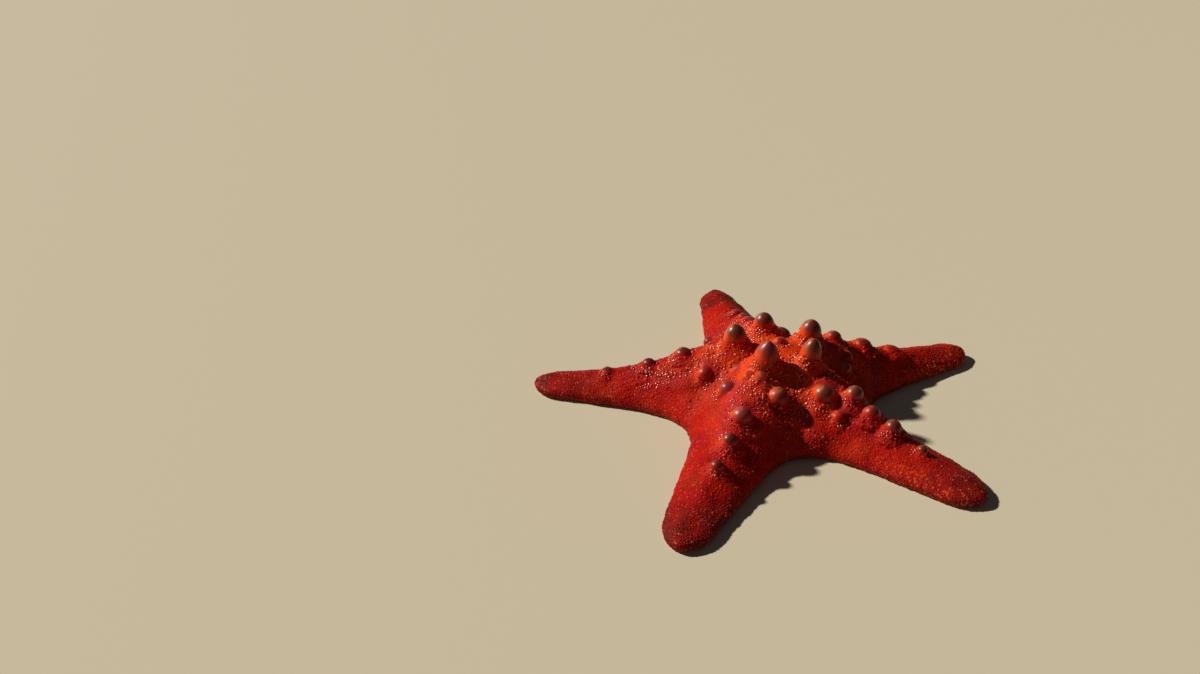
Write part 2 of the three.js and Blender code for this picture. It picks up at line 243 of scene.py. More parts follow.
def half_width(name, side, station, tuck=0.0):
    """The half width tapers along the arm and flares smoothly into the armpit."""
    arm = ARMS[name]
    pit_station, pit_width = pit_of(name, side, tuck)
    start = arm["width"] - tuck + arm["taper"] * WIDTH_STATION
    flare = pit_width - (start - arm["taper"] * pit_station)
    spread = flare / (pit_station / pit_width - arm["taper"])
    plain = start - arm["taper"] * station
    width = plain + flare * np.exp(-(station - pit_station) / spread)
    return width * tip_share(arm, station, arm["reach"] - tuck)


def skin_height(arm, station, offset, name):
    """Height of the bare skin, without horns and knobs, at one place."""
    pit_station = arm["pit"] * math.cos(SECTOR)
    if station < pit_station:
        out = station / pit_station
        edge = valley_height(out)
        ridge = ridge_height(station, 1 + (arm["rise"] - 1) * out)
        share = min(1.0, abs(offset) / (station * math.tan(SECTOR)))
        return edge + (ridge - edge) * disc_section(share, out)
    shaded_arms = offset - centre_offset(arm, station)
    share = min(1.0, abs(shaded_arms) / half_width(name, 1 if shaded_arms >= 0 else -1, station))
    ridge = (ridge_height(station, arm["rise"]) - RIM_HEIGHT) * arm_section(share)
    return RIM_HEIGHT + ridge * tip_share(arm, station, arm["reach"]) ** 0.8


# ---- The body as one closed mesh ------------------------------------------------------

def body_rows(name, side, rows, tuck):
    """Middle line, edge line and middle stations of the rows of one side of an arm.
    Rows 0 to 1 cross the disc and rows 1 to 2 follow the arm."""
    arm = ARMS[name]
    pit_station, pit_width = pit_of(name, side, tuck)
    mean_pit = (pit_of(name, 1, tuck)[0] + pit_of(name, -1, tuck)[0]) / 2
    reach = arm["reach"] - tuck
    inner = rows <= 1
    out = np.where(inner, 0, 1 - np.clip(2 - rows, 0, 1) ** ROW_SPACING)
    station = np.where(inner, rows * mean_pit, mean_pit + (reach - mean_pit) * out)
    edge_station = np.where(inner, rows * pit_station, pit_station + (reach - pit_station) * out)
    edge_width = half_width(name, side, edge_station, tuck)
    edge_offset = side * np.where(inner, rows * pit_width, edge_width)
    edge_offset = edge_offset + centre_offset(arm, edge_station)
    middle = arm_place(arm, station, centre_offset(arm, station))
    return middle, arm_place(arm, edge_station, edge_offset), station


def top_grid(name, side, rows, shares):
    arm = ARMS[name]
    middle, edge, station = body_rows(name, side, rows, COAT)
    plan = middle[:, None] + (edge - middle)[:, None] * shares[None, :, None]
    row = np.minimum(rows, 1)[:, None]
    station = station[:, None]
    share = shares[None, :]
    rise = 1 + (arm["rise"] - 1) * row
    ridge = ridge_height(station, rise)
    valley = valley_height(row)
    disc = valley + (ridge - valley) * disc_section(share, row)
    end = tip_share(arm, station, arm["reach"] - COAT) ** 0.8
    limb = RIM_HEIGHT + (ridge - RIM_HEIGHT) * end * arm_section(share)
    height = np.where(rows[:, None] <= 1, disc, limb) - COAT
    return np.dstack([plan, height])


def rim_grid(name, side, rows, steps):
    """The rounded rim, from its widest line down and in to the flat underside."""
    turns = np.linspace(0, math.pi / 2, steps)
    lines = []
    for turn in turns:
        tuck = COAT + (RIM_TUCK - COAT) * (1 - math.cos(turn))
        edge = body_rows(name, side, rows, tuck)[1]
        drop = (RIM_HEIGHT - COAT - SOLE_HEIGHT) * math.sin(turn)
        lines.append(np.column_stack([edge, np.full(len(rows), RIM_HEIGHT - COAT - drop)]))
    return np.stack(lines, axis=1)


def furrow_size(name, station):
    """Half width of an arm's furrow, and its depth as a share of the deepest."""
    reach = ARMS[name]["reach"] - FURROW_END
    shallow = np.clip(1 - (station / reach) ** 2, 0, 1) ** 0.5
    return FURROW_WIDTH * (0.35 + 0.65 * shallow), shallow


def sole_height(name, station, offset, radius):
    """Height of the underside: flat, with a furrow under the arm and a pit at the mouth."""
    width, shallow = furrow_size(name, station)
    furrow = FURROW_DEPTH * shallow * np.exp(-(np.abs(offset) / width) ** 3)
    mouth = MOUTH_DEPTH * np.exp(-(radius / MOUTH_RADIUS) ** 4)
    return SOLE_HEIGHT + np.maximum(furrow, mouth)


def sole_grid(name, side, rows, shares):
    middle, edge, _ = body_rows(name, side, rows, RIM_TUCK)
    plan = middle[:, None] + (edge - middle)[:, None] * shares[None, :, None]
    station, offset = in_arm(ARMS[name], plan)
    height = sole_height(name, station, offset, np.linalg.norm(plan, axis=2))
    return np.dstack([plan, height])


def add_grid(soup, grid, flipped):
    """Adds a grid of points to a list of (points, quads)."""
    rows, columns = grid.shape[:2]
    corner = np.arange(rows * columns).reshape(rows, columns)
    quads = np.stack([corner[:-1, :-1], corner[1:, :-1], corner[1:, 1:], corner[:-1, 1:]], -1)
    quads = quads.reshape(-1, 4)
    soup.append((grid.reshape(-1, 3), quads[:, ::-1] if flipped else quads))


def knob_profile(cap, rise, neck_depth, foot_radius, point, shape, steps=14):
    """Radius and depth below the top, from the top down to the foot."""
    neck = min(neck_depth * cap, NECK_LIMIT * rise)
    foot = rise + shape["sink"] * cap
    turn = np.linspace(math.pi / 2, 0, steps)
    waist = shape["waist"] * cap
    dome = np.column_stack([waist * np.cos(turn) ** point, neck - neck * np.sin(turn)])
    up = np.linspace(1, 0, steps + 1)[1:]
    radius = waist + (foot_radius - waist) * (1 - up) ** SKIRT_FLARE
    skirt = np.column_stack([radius, foot - (foot - neck) * up])
    bottom = np.array([[0.0, foot]])
    return np.vstack([dome, skirt, bottom]), neck, foot


class Knob:
    """A horn or knob: its place, its axis and its profile, in millimetres from the mouth."""

    def __init__(self, name, sizes, shape):
        arm = ARMS[name]
        station, offset, top, cap, neck_depth, foot, point, self.tone, self.strength = sizes
        self.cap = cap + SETTLE_LOSS
        self.foot_radius = foot * cap
        self.rise = top - skin_height(arm, station, offset, name)
        plan = arm_place(arm, station, offset)
        self.top = np.array([plan[0], plan[1], top + SETTLE_LOSS - COAT])
        near, far = station - SLOPE_STEP, station + SLOPE_STEP
        left, right = offset + SLOPE_STEP, offset - SLOPE_STEP
        out = skin_height(arm, far, offset, name) - skin_height(arm, near, offset, name)
        across = skin_height(arm, station, left, name) - skin_height(arm, station, right, name)
        lean = KNOB_LEAN / (2 * SLOPE_STEP)
        sideways = arm_place(arm, -out * lean, -across * lean)
        axis = np.array([sideways[0], sideways[1], 1.0])
        self.axis = axis / np.linalg.norm(axis)
        found = knob_profile(self.cap, self.rise, neck_depth, self.foot_radius, point, shape)
        self.profile, self.neck, self.foot = found

    def frame(self):
        first = np.cross([0.0, 1.0, 0.0], self.axis)
        first = first / np.linalg.norm(first)
        return first, np.cross(self.axis, first)

    def around(self, points):
        """Distance from the axis, depth below the top and angle about the axis."""
        shaded_arms = points - self.top
        depth = -(shaded_arms @ self.axis)
        first, second = self.frame()
        x, y = shaded_arms @ first, shaded_arms @ second
        return np.hypot(x, y), depth, np.arctan2(y, x)

    def add_to(self, soup, sides=40):
        first, second = self.frame()
        turn = np.linspace(0, 2 * math.pi, sides + 1)
        ring = np.multiply.outer(np.cos(turn), first) + np.multiply.outer(np.sin(turn), second)
        radius, depth = self.profile[:, 0], self.profile[:, 1]
        grid = self.top + ring[None] * radius[:, None, None]
        grid = grid - depth[:, None, None] * self.axis
        add_grid(soup, grid, False)


def all_knobs():
    horns = [Knob(name, HORNS[name], HORN_SHAPE) for name in ARM_NAMES]
    low = [Knob(name, (*sizes[:4], KNOB_NECK, KNOB_FOOT, 1.0, *sizes[4:]), KNOB_SHAPE)
           for name in ARM_NAMES for sizes in KNOBS[name]]
    return horns, low


def mesh_from(name, points, faces):
    mesh = bpy.data.meshes.new(name)
    mesh.from_pydata(points.tolist(), [], faces)
    return mesh


def new_object(name, data):
    made = bpy.data.objects.new(name, data)
    bpy.context.scene.collection.objects.link(made)
    return made


def modify(piece, kind, **settings):
    modifier = piece.modifiers.new(kind, kind)
    for key, value in settings.items():
        setattr(modifier, key, value)
    return modifier


def mesh_of_grids(name, soup):
    """One mesh from a list of (points, quads), in metres, with its seams closed."""
    points = []
    faces = []
    count = 0
    for part_points, part_faces in soup:
        points.append(part_points)
        faces.extend((part_faces + count).tolist())
        count += len(part_points)
    mesh = mesh_from(name, (np.vstack(points) + MOUTH) * MM, faces)
    shell = bmesh.new()
    shell.from_mesh(mesh)
    bmesh.ops.remove_doubles(shell, verts=shell.verts, dist=0.01 * MM)
    bmesh.ops.recalc_face_normals(shell, faces=shell.faces)
    shell.to_mesh(mesh)
    shell.free()
    return mesh


def body_shell():
    """The disc and arms as one closed shell."""
    disc_rows = np.linspace(0, 1, DISC_ROWS)
    arm_rows = np.linspace(1, 2, ARM_ROWS)
    rows = np.concatenate([disc_rows, arm_rows[1:]])
    shares = 1 - (1 - np.linspace(0, 1, HALF_COLUMNS)) ** 1.3
    soup = []
    for name in ARM_NAMES:
        for side in (1, -1):
            flipped = side < 0
            add_grid(soup, top_grid(name, side, rows, shares), flipped)
            add_grid(soup, rim_grid(name, side, arm_rows, RIM_ROWS), flipped)
            add_grid(soup, sole_grid(name, side, rows, shares), not flipped)
    return mesh_of_grids("body_shell", soup)


def finished_mesh(piece, name):
    """The piece's mesh with its modifiers applied, as a plain mesh."""
    piece.update_tag()
    ready = piece.evaluated_get(bpy.context.evaluated_depsgraph_get())
    mesh = bpy.data.meshes.new_from_object(ready)
    mesh.name = name
    piece.modifiers.clear()
    return mesh


def vectors(items, key):
    """One row of three numbers for each item."""
    flat = np.empty(len(items) * 3, dtype=np.float32)
    items.foreach_get(key, flat)
    return flat.reshape(-1, 3).astype(float)


def whole_numbers(items, key):
    numbers = np.empty(len(items), dtype=np.int32)
    items.foreach_get(key, numbers)
    return numbers


# ---- Where a place lies on the animal --------------------------------------------------

def smooth(low, high, value):
    """0 below low, 1 above high, and smooth between them."""
    share = np.clip((value - low) / (high - low), 0, 1)
    return share * share * (3 - 2 * share)


def window(start, full, fade, end, value):
    """0 outside start and end, 1 from full to fade, and smooth between them."""
    return smooth(start, full, value) * (1 - smooth(fade, end, value))


def ripple(places, pitch, seed, waves=26):
    """A smooth random field of unit strength, with lumps about one pitch apart."""
    random = np.random.default_rng(seed)
    ways = random.normal(size=(places.shape[1], waves))
    ways = ways / np.linalg.norm(ways, axis=0)
    ways = ways * random.uniform(0.7, 1.35, waves) * 2 * math.pi / pitch
    shift = random.uniform(0, 2 * math.pi, waves)
    return np.sin(places @ ways + shift).sum(axis=1) * math.sqrt(2 / waves)


class Chart:
    """Where each point lies: its arm, station, offset, share of the half width and height."""

    def __init__(self, points):
        self.points = points
        self.radius = np.hypot(points[:, 0], points[:, 1])
        bearing = np.degrees(np.arctan2(points[:, 1], points[:, 0]))
        apart = [np.abs((bearing - arm["heading"] + 180) % 360 - 180) for arm in ARMS.values()]
        self.arm = np.argmin(apart, axis=0)
        self.station, self.offset, self.under = np.zeros((3, len(points)))
        self.width, self.reach = np.ones((2, len(points)))
        for index, name in enumerate(ARM_NAMES):
            here = self.arm == index
            arm = ARMS[name]
            station, offset = in_arm(arm, points[here, :2])
            pit_station = (pit_of(name, 1)[0] + pit_of(name, -1)[0]) / 2
            beyond = np.where(offset > 0, half_width(name, 1, station), half_width(name, -1, station))
            inside = np.clip(station, 1, None) * math.tan(SECTOR)
            self.station[here] = station
            self.offset[here] = offset
            self.width[here] = np.where(station > pit_station, beyond, inside)
            self.reach[here] = arm["reach"]
            self.under[here] = sole_height(name, station, offset, self.radius[here])
        self.share = np.clip(np.abs(self.offset) / np.clip(self.width, 0.5, None), 0, 1.2)
        self.outward = self.station / self.reach
        self.height = points[:, 2]

    def on(self, name):
        return (self.arm == ARM_NAMES.index(name)).astype(float)


def knob_fields(chart, knobs):
    """Each point's cap, collar, orange painted beside a cap on its side toward the light (painted light),
    tone, skirt wrinkle and bare neck.
    """
    cap, collar, glow, tone, wrinkle, bare = np.zeros((6, len(chart.points)))
    for number, knob in enumerate(knobs):
        shaded_arms, depth, angle = knob.around(chart.points)
        near = shaded_arms < knob.foot_radius + 2
        shaded_arms, depth, angle = shaded_arms[near], depth[near], angle[near]
        inside = 1 - smooth(knob.cap * 1.35, knob.cap * 1.8, shaded_arms)
        here = (1 - smooth(knob.neck * 0.15, knob.neck * 1.15, depth)) * inside * knob.strength
        bell = (1 - smooth(knob.neck * 0.85, knob.neck * 1.1, depth)) * inside
        fall = smooth(knob.cap * 0.9, knob.foot_radius * 1.1, shaded_arms)
        skirt = (1 - fall) * smooth(0.2, 0.9, depth / knob.neck)
        cap[near] = np.maximum(cap[near], here)
        bare[near] = np.maximum(bare[near], bell)
        stronger = np.maximum(here, skirt * 0.5) > collar[near]
        collar[near] = np.maximum(collar[near], (1 - fall) * (1 - here * 0.3))
        # Painted light: the skin beside a cap is more orange on the side toward the light.
        side = chart.points[near, :2] - knob.top[:2]
        side = side @ unit(LIT_SIDE_BEARING) / np.clip(np.hypot(*side.T), 0.1, None)
        lit_side_share = (1 - fall) * (LIT_SIDE_FLOOR + (1 - LIT_SIDE_FLOOR) * smooth(0.1, 0.95, side))
        glow[near] = np.maximum(glow[near], lit_side_share)
        tone[near] = np.where(stronger | (here > 0.05), knob.tone, tone[near])
        bend = ripple(np.column_stack([shaded_arms, depth, angle]), 9, 40 + number)
        ribs = max(9, round(2 * math.pi * knob.cap * 1.35 / RIB_PITCH))
        fold = np.sin(ribs * angle + 1.1 * bend)
        wrinkle[near] += fold * skirt * (1 - bell) * min(1.0, knob.rise / 6)
    return cap, collar, glow, tone, wrinkle, bare


def skin_fields(points, knobs):
    """Every mark and coarse mood of the skin as numbers from 0 to 1."""
    chart = Chart(points)
    cap, collar, glow, tone, wrinkle, bare = knob_fields(chart, knobs)
    sole = 1 - smooth(0.25, 0.9, chart.height - chart.under)
    inner = (1 - smooth(0.35, 0.5, chart.share)) * (chart.height < SOLE_LIMIT)
    sole = np.maximum(sole, inner * (chart.station < chart.reach - 20))
    patch = ripple(points, 17, 3)
    on_ridge = 1 - smooth(0.12, 0.5, chart.share)
    disc = 1 - smooth(26, 44, chart.radius + 3 * patch)
    crown = 1 - smooth(15, 23, chart.radius + 2 * patch)
    crest = on_ridge * (1 - smooth(0.5, 0.74, chart.outward))
    rough = np.maximum(disc, np.maximum(crest * 0.7, collar * 0.9))
    patchy = 0.8 + 0.45 * ripple(points, 7, 31)
    calm = 0.85 * crown * (1 - smooth(0.03, 0.3, collar)) * smooth(-14, -6, points[:, 0])
    flank = chart.on("left") * window(22, 30, 50, 60, chart.station)
    flank = flank * window(-3, 2, 9, 13, chart.offset)
    rough = np.maximum(rough, 0.9 * flank)
    middle = BAND["offset"] + BAND["slope"] * (chart.station - BAND["start"])
    band = np.exp(-((chart.offset - middle) / BAND["width"]) ** 4) * chart.on("front_left")
    start, end = BAND["start"], BAND["end"]
    band = band * window(start - 6, start, end - 8, end, chart.station)
    calm = np.maximum(calm, band)
    rough = np.clip(rough * np.clip(patchy, 0, 1) - calm, 0, 1) * (1 - bare) * (1 - sole)
    warm = 0.6 * disc + 0.45 * crown + 0.25 * collar + 0.2 * crest + 0.12 * patch
    # Painted shade: the right and front right arms, on the side away from the light, are less orange.
    shaded_arms = chart.on("front_right") + 0.6 * chart.on("right")
    warm = warm * (1 - 0.45 * shaded_arms * smooth(18, 32, chart.radius))
    # Painted shade: orange is taken off each collar on its side away from the light.
    warm = np.clip(warm + 0.4 * band - 1.05 * (collar - glow), 0, 1)
    # Painted light: the dark of the tips is lessened on the right arm, where light falls on it.
    tip = smooth(0.6, 1.0, chart.outward + 0.05 * patch) * (1 - 0.6 * chart.on("right"))
    # The painted light beside the caps fades out away from the disc.
    glow = glow * (1 - 0.6 * smooth(38, 58, chart.radius + 3 * patch))
    frost = smooth(0.3, 0.5, chart.outward)
    frost = frost * (0.3 + 0.7 * chart.on("left") + 0.4 * chart.on("back") - 0.2 * shaded_arms)
    # A lilac tint along the front arms' ridges: partly the skin's own tint and partly a painted
    # reflection of the sky.
    lilac = on_ridge * window(0.2, 0.3, 0.45, 0.6, chart.outward)
    lilac = lilac * (chart.on("front_left") + 0.5 * chart.on("front_right"))
    dusky = chart.on("back") * smooth(-0.2, 0.7, -chart.offset / chart.width)
    dusky = dusky * smooth(0.3, 0.45, chart.outward)
    sieve = np.hypot(*(points[:, :2] - SIEVE_RADIUS * unit(SIEVE_BEARING)).T)
    sieve = (1 - smooth(SIEVE_SIZE * 0.85, SIEVE_SIZE * 1.1, sieve)) * (chart.height > 9)
    rough = rough * (1 - sieve)
    dry = smooth(14, 28, points[:, 0]) * smooth(-26, -8, points[:, 1])
    pavement = sole * (1 - smooth(0.2, 0.6, chart.under - SOLE_HEIGHT))
    margin = smooth(0.8, 1.0, chart.share) * (1 - smooth(3, 6, chart.height))
    front = smooth(0.15, 0.45, -chart.offset / chart.width)
    low = smooth(0.35, 0.75, chart.share) + chart.on("right") * smooth(0.75, 0.9, chart.outward)
    spots = (chart.on("right") + 0.5 * chart.on("front_right")) * front * np.clip(low, 0, 1)
    spots = spots * smooth(0.45, 0.8, chart.outward) * (1 - sole)
    fine = (1 - smooth(0.25, 0.75, rough)) * (1 - bare) * (1 - sole) * (1 - sieve)
    fields = dict(cap=cap, glow=glow, tone=tone, rough=rough, warm=warm, tip=tip,
                  margin=margin, dusky=dusky, sieve=sieve, pavement=pavement, spots=spots,
                  sole=sole, fine=fine,
                  frost=frost, lilac=lilac, dry=dry)
    return chart, fields, wrinkle


# ---- The skin ---------------------------------------------------------------------------

def foot_melt(points):
    """How much each point of the bare body is smoothed: the disc's top, not its rim."""
    chart = Chart(points)
    return smooth(4.5, 9.0, chart.height) * (1 - smooth(58, 72, chart.radius))


def relief(chart, fields, wrinkle):
    """How far each point of the skin stands out of the smooth body, in millimetres."""
    points = chart.points
    top = 1 - fields["sole"]
    soft = (1 - fields["cap"]) * top
    lumps = (0.12 + 0.1 * fields["rough"]) * ripple(points, 9.5, 11) * soft
    knuckles = 0.1 * ripple(points, 3.2, 12) * soft * (0.15 + fields["rough"])
    folds = 0.14 * wrinkle
    side = chart.station / 4.4 + 0.35 * np.sign(chart.offset)
    plates = 0.07 * np.cos(2 * math.pi * side) * fields["margin"] * (1 - fields["sole"])
    crease = np.zeros(len(points))
    for offset, slope in ((4.6, 0.05), (6.2, 0.08), (7.9, 0.12), (9.6, 0.16)):
        line = chart.offset - offset - slope * (chart.station - 46) - 0.25 * ripple(points, 15, 21)
        along = window(34, 41, 58, 68, chart.station)
        crease -= 0.15 * np.exp(-(line / 0.42) ** 2) * along * chart.on("left")
    return lumps + knuckles + folds + plates + crease + 0.35 * fields["sieve"]


def store(mesh, fields):
    for name, values in fields.items():
        attribute = mesh.attributes.new(name, "FLOAT", "POINT")
        attribute.data.foreach_set("value", values.astype(np.float32))


def from_mouth(mesh):
    """The mesh's points in millimetres from the mouth."""
    return vectors(mesh.vertices, "co") / MM - MOUTH


def make_skin(knobs):
    body = new_object("body_only", body_shell())
    modify(body, "REMESH", mode="VOXEL", voxel_size=BODY_VOXEL * MM)
    body.data = finished_mesh(body, "body_only")
    weights = foot_melt(from_mouth(body.data))
    group = body.vertex_groups.new(name="melt")
    for index in np.nonzero(weights > 0)[0]:
        group.add([int(index)], float(weights[index]), "REPLACE")
    modify(body, "SMOOTH", vertex_group="melt", factor=0.5, iterations=MELT_ROUNDS)
    body.data = finished_mesh(body, "body_only")
    soup = []
    for knob in knobs:
        knob.add_to(soup)
    shells = mesh_of_grids("knob_shells", soup)
    joined = bmesh.new()
    joined.from_mesh(body.data)
    joined.from_mesh(shells)
    joined.to_mesh(body.data)
    joined.free()
    modify(body, "REMESH", mode="VOXEL", voxel_size=VOXEL * MM)
    modify(body, "SMOOTH", factor=0.5, iterations=SETTLE_ROUNDS)
    mesh = finished_mesh(body, "sea_star_skin")
    bpy.data.objects.remove(body)
    skin = new_object("sea_star_skin", mesh)
    places = from_mouth(mesh)
    chart, fields, wrinkle = skin_fields(places, knobs)
    step = (relief(chart, fields, wrinkle) * MM)[:, None]
    moved = vectors(mesh.vertices, "co") + vectors(mesh.vertex_normals, "vector") * step
    moved[:, 2] = np.maximum(moved[:, 2], SOLE_HEIGHT * 0.95 * MM)
    mesh.vertices.foreach_set("co", moved.astype(np.float32).ravel())
    mesh.update()
    triangles = int((whole_numbers(mesh.polygons, "loop_total") - 2).sum())
    if triangles > SKIN_TRIANGLES:
        modify(skin, "DECIMATE", ratio=SKIN_TRIANGLES / triangles)
        skin.data = finished_mesh(skin, "sea_star_skin")
    fields = skin_fields(from_mouth(skin.data), knobs)[1]
    facing = smooth(0.4, 0.7, vectors(skin.data.vertex_normals, "vector") @ SHEEN_AIM)
    fields["wet"] = facing * (1 - fields.pop("dry"))
    store(skin.data, fields)
    skin.data.shade_smooth()
    return skin


# ---- Node trees -------------------------------------------------------------------------

def operator(kind, swapped=False):
    """A Signal's method that adds a Math node."""
    def made(first, second):
        pair = (second, first) if swapped else (first, second)
        return first.math(kind, *pair)
    return made


class Signal:
    """A socket of a node tree that takes +, -, * and ** with signals and plain numbers."""

    def __init__(self, tree, socket):
        self.tree = tree
        self.socket = socket

    def math(self, operation, *values):
        inputs = dict(enumerate(values))
        return self.tree.out("ShaderNodeMath", dict(operation=operation), inputs)

    __add__ = operator("ADD")
    __radd__ = operator("ADD", swapped=True)
    __sub__ = operator("SUBTRACT")
    __rsub__ = operator("SUBTRACT", swapped=True)
    __mul__ = operator("MULTIPLY")
    __rmul__ = operator("MULTIPLY", swapped=True)
    __pow__ = operator("POWER")

    def clipped(self):
        return self.tree.out("ShaderNodeClamp", {}, {0: self})

    def between(self, low, high):
        """0 at low, 1 at high, smooth between."""
        settings = dict(interpolation_type="SMOOTHSTEP")
        return self.tree.out("ShaderNodeMapRange", settings, {0: self, 1: low, 2: high})


class Tree:
    """A shader or geometry node tree."""

    def __init__(self, nodes, links):
        self.nodes = nodes
        self.links = links

    def put(self, socket, value):
        if isinstance(value, Signal):
            self.links.new(value.socket, socket)
        elif value is not None:
            socket.default_value = value

    def node(self, kind, settings=None, inputs=None):
        made = self.nodes.new(kind)
        for key, value in (settings or {}).items():
            setattr(made, key, value)
        for key, value in (inputs or {}).items():
            self.put(made.inputs[key], value)
        return made

    def out(self, kind, settings=None, inputs=None, output=0):
        return Signal(self, self.node(kind, settings, inputs).outputs[output])

    def vector(self, *parts):
        return self.out("ShaderNodeCombineXYZ", {}, dict(enumerate(parts)))

    def mesh_of(self, source):
        return self.out("GeometryNodeObjectInfo", {}, {"Object": source}, "Geometry")


class Paint(Tree):
    """A material whose Principled shader is fed by the signals that are made here."""

    def __init__(self, name):
        self.material = bpy.data.materials.new(name)
        self.material.use_nodes = True
        tree = self.material.node_tree
        super().__init__(tree.nodes, tree.links)
        self.shader = tree.nodes["Principled BSDF"]
        self.place = self.out("ShaderNodeTexCoord", output="Object")

    def field(self, name):
        return self.out("ShaderNodeAttribute", dict(attribute_name=name), output="Fac")

    def noise(self, pitch, detail=2.0, rough=0.5, where=None):
        """Noise with lumps about one pitch apart, in millimetres, from 0 to 1."""
        inputs = {"Vector": where or self.place, "Scale": 1 / (pitch * MM), "Detail": detail,
                  "Roughness": rough}
        return self.out("ShaderNodeTexNoise", {}, inputs)

    def cells(self, pitch, output="Distance", feature="F1"):
        inputs = {"Vector": self.place, "Scale": 1 / (pitch * MM)}
        return self.out("ShaderNodeTexVoronoi", dict(feature=feature), inputs, output)

    def mix(self, share, first, second, blend="MIX"):
        settings = dict(data_type="RGBA", blend_type=blend)
        first, second = [value if isinstance(value, Signal) else (*value, 1)
                         for value in (first, second)]
        return self.out("ShaderNodeMix", settings, {0: share, 6: first, 7: second}, 2)

    def bump(self, height, distance, strength=1.0, under=None):
        inputs = {"Height": height, "Distance": distance * MM, "Strength": strength,
                  "Normal": under}
        return self.out("ShaderNodeBump", {}, inputs)

    def set(self, **values):
        for name, value in values.items():
            self.put(self.shader.inputs[name.replace("_", " ")], value)


# ---- Colours ----------------------------------------------------------------------------

RED = (0.460, 0.010, 0.004)
CRIMSON = (0.350, 0.005, 0.009)
ORANGE = (0.750, 0.058, 0.011)
FLAME = (0.840, 0.135, 0.025)
SPOT = (0.850, 0.110, 0.012)
LILAC = (0.560, 0.018, 0.052)
MAROON = (0.170, 0.010, 0.009)
# painted light: the orange beside the caps on their side toward the light
LIT_COLLAR_ORANGE = (0.850, 0.115, 0.018)
GAP_PAINTED_SHADE = (0.150, 0.003, 0.002)   # painted shade between granules
CAP_DARK = (0.200, 0.034, 0.013)
CAP_RED = (0.230, 0.012, 0.009)
CAP_PINK = (0.400, 0.044, 0.050)
# painted shade: the dark of a cap's side away from the light
CAP_PAINTED_SHADE = (0.040, 0.004, 0.004)
# painted highlight: a golden smear on the caps' side toward the light
CAP_PAINTED_HIGHLIGHT = (0.430, 0.170, 0.085)
SKY = (0.850, 0.850, 0.950)
SOLE_PALE = (0.600, 0.240, 0.110)
SIEVE_PALE = (0.720, 0.240, 0.090)
SIEVE_DEEP = (0.300, 0.030, 0.012)
SPINE_PALE = (0.700, 0.420, 0.240)
FOOT_PALE = (0.560, 0.300, 0.100)


def body_colour(paint, gap_shade):
    """The markings that skin and granules share, and painted shade on the skin between granules when
    asked for.
    """
    drift = paint.noise(14, 3.0)
    mottle = paint.noise(2.6, 3.0, 0.6)
    colour = paint.mix(drift.between(0.38, 0.66), RED, CRIMSON)
    warmth = (paint.field("warm") * 1.05 + (mottle - 0.5) * 0.5 + (drift - 0.5) * 0.3).clipped()
    colour = paint.mix(warmth, colour, ORANGE)
    dusk = paint.field("tip") * 0.85 + paint.field("margin") * 0.35 + paint.field("dusky") * 0.6
    blotch = paint.noise(5.5, 2.0).between(0.3, 0.7) - 0.5
    dusk = dusk * (1 + blotch * 0.65) + (mottle - 0.5) * 0.5
    colour = paint.mix(dusk.clipped(), colour, MAROON)
    # Lilac along the front arms' ridges, partly a painted reflection of the sky.
    lilac = paint.field("lilac") * paint.noise(4, 2.0).between(0.35, 0.65) * 0.8
    colour = paint.mix(lilac, colour, LILAC)
    fleck = paint.cells(1.2, "Color")
    fleck = paint.out("ShaderNodeSeparateColor", {}, {0: fleck})
    core = 1 - paint.cells(1.2).between(0.22, 0.42)
    bright = fleck.between(0.75, 0.95) * core * (0.25 + 0.3 * (paint.field("tip") + paint.field("frost")))
    colour = paint.mix((bright * (1 - paint.field("cap"))).clipped(), colour, FLAME)
    spot = (1 - paint.cells(1.6).between(0.22, 0.45)) * paint.field("spots")
    colour = paint.mix(spot * paint.noise(5).between(0.32, 0.5), colour, SPOT)
    if gap_shade:
        # Painted shade on the skin between granules.
        colour = paint.mix(paint.field("rough") * 0.35, colour, GAP_PAINTED_SHADE)
    return paint.mix(paint.field("sole") * 0.9, colour, SOLE_PALE)


def cap_colour(paint):
    tone = paint.field("tone")
    colour = paint.mix(tone.between(0.0, 0.5), CAP_DARK, CAP_RED)
    colour = paint.mix(tone.between(0.5, 0.95), colour, CAP_PINK)
    # Painted highlight: a golden smear on each cap's side toward the light.
    painted_highlight = paint.noise(2.2, 3.0, 0.6).between(0.3, 0.6) * (0.9 - 0.6 * tone) * paint.field("glow")
    colour = paint.mix(painted_highlight, colour, CAP_PAINTED_HIGHLIGHT)
    # Painted shade: each cap is darker on its side away from the light.
    return paint.mix(0.4 - 0.6 * paint.field("glow"), colour, CAP_PAINTED_SHADE)


